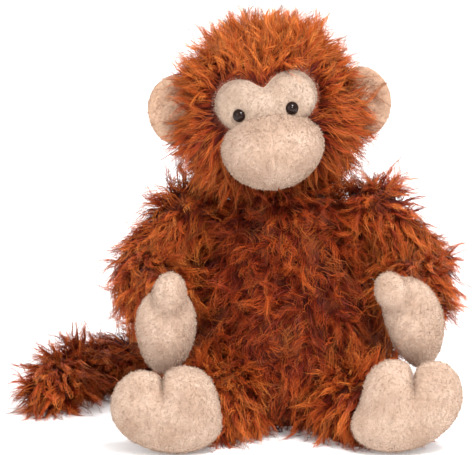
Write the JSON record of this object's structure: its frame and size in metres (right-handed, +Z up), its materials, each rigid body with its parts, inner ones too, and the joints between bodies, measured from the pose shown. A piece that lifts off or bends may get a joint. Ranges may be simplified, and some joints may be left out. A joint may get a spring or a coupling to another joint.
{
  "type": "stuffed monkey",
  "caption": "Sitting plush monkey with long shaggy fur, beige short-pile face, ears, hands and feet, button eyes, jointed soft limbs and a curling tail.",
  "frame": {"origin": "middle of the flat seat that the toy sits on, in the plane of the floor", "axes": "the toy faces -Y, +Z is up, and its own left is +X"},
  "size_m": [0.3255, 0.2478, 0.2987],
  "materials": {
    "long_pile_fur": "matte",
    "beige_plush": "matte",
    "polyester_fill": "matte",
    "pellet_bag_cloth": "matte",
    "eye_button": "gloss",
    "washer_plastic": "matte"
  },
  "bodies": {
    "torso": {"torso_front_cover": "long_pile_fur", "torso_back_cover": "long_pile_fur", "seat_panel": "long_pile_fur", "torso_stuffing": "polyester_fill", "pellet_bag": "pellet_bag_cloth"},
    "neck": {"neck_collar": "long_pile_fur", "neck_plug": "polyester_fill"},
    "head": {"head_left_cover": "long_pile_fur", "head_right_cover": "long_pile_fur", "head_stuffing": "polyester_fill", "face_panel": "beige_plush", "muzzle_left_cover": "beige_plush", "muzzle_right_cover": "beige_plush", "muzzle_stuffing": "polyester_fill", "ear_left_front": "beige_plush", "ear_left_back": "beige_plush", "ear_right_front": "beige_plush", "ear_right_back": "beige_plush", "eye_left": "eye_button", "eye_right": "eye_button", "eye_left_washer": "washer_plastic", "eye_right_washer": "washer_plastic"},
    "tail": {"tail_cover": "long_pile_fur", "tail_stuffing": "polyester_fill"},
    "arm_left": {"arm_left_cover": "long_pile_fur", "arm_left_stuffing": "polyester_fill"},
    "hand_left": {"hand_left_palm": "beige_plush", "hand_left_back": "beige_plush", "hand_left_stuffing": "polyester_fill"},
    "leg_left": {"leg_left_cover": "long_pile_fur", "leg_left_stuffing": "polyester_fill"},
    "foot_left": {"foot_left_sole": "beige_plush", "foot_left_top": "beige_plush", "foot_left_stuffing": "polyester_fill"},
    "arm_right": {"arm_right_cover": "long_pile_fur", "arm_right_stuffing": "polyester_fill"},
    "hand_right": {"hand_right_palm": "beige_plush", "hand_right_back": "beige_plush", "hand_right_stuffing": "polyester_fill"},
    "leg_right": {"leg_right_cover": "long_pile_fur", "leg_right_stuffing": "polyester_fill"},
    "foot_right": {"foot_right_sole": "beige_plush", "foot_right_top": "beige_plush", "foot_right_stuffing": "polyester_fill"}
  },
  "joints": [
    {"name": "head_turn", "type": "hinge", "parent": "torso", "child": "neck", "pos_m": [-0.007, -0.006, 0.202], "axis": [0, 0, 1], "range_deg": [-30, 30]},
    {"name": "head_nod", "type": "hinge", "parent": "neck", "child": "head", "pos_m": [-0.007, -0.006, 0.202], "axis": [1, 0, 0], "range_deg": [-12, 15]},
    {"name": "shoulder_left", "type": "hinge", "parent": "torso", "child": "arm_left", "pos_m": [0.065, 0.002, 0.157], "axis": [-1, 0, 0], "range_deg": [0, 60]},
    {"name": "wrist_left", "type": "hinge", "parent": "arm_left", "child": "hand_left", "pos_m": [0.097, -0.0698, 0.101], "axis": [-1, 0, 0], "range_deg": [-20, 15]},
    {"name": "hip_left", "type": "hinge", "parent": "torso", "child": "leg_left", "pos_m": [0.04, -0.06, 0.0275], "axis": [0, 0, 1], "range_deg": [-25, 5]},
    {"name": "ankle_left", "type": "hinge", "parent": "leg_left", "child": "foot_left", "pos_m": [0.077, -0.1102, 0.03], "axis": [1, 0, 0], "range_deg": [-15, 15]},
    {"name": "shoulder_right", "type": "hinge", "parent": "torso", "child": "arm_right", "pos_m": [-0.065, 0.002, 0.157], "axis": [-1, 0, 0], "range_deg": [0, 60]},
    {"name": "wrist_right", "type": "hinge", "parent": "arm_right", "child": "hand_right", "pos_m": [-0.095, -0.0698, 0.1], "axis": [-1, 0, 0], "range_deg": [-20, 15]},
    {"name": "hip_right", "type": "hinge", "parent": "torso", "child": "leg_right", "pos_m": [-0.04, -0.06, 0.0275], "axis": [0, 0, -1], "range_deg": [-25, 5]},
    {"name": "ankle_right", "type": "hinge", "parent": "leg_right", "child": "foot_right", "pos_m": [-0.077, -0.1102, 0.03], "axis": [1, 0, 0], "range_deg": [-15, 15]},
    {"name": "tail_swing", "type": "hinge", "parent": "torso", "child": "tail", "pos_m": [-0.04, 0.062, 0.0225], "axis": [0, 0, 1], "range_deg": [-60, 8]}
  ]
}
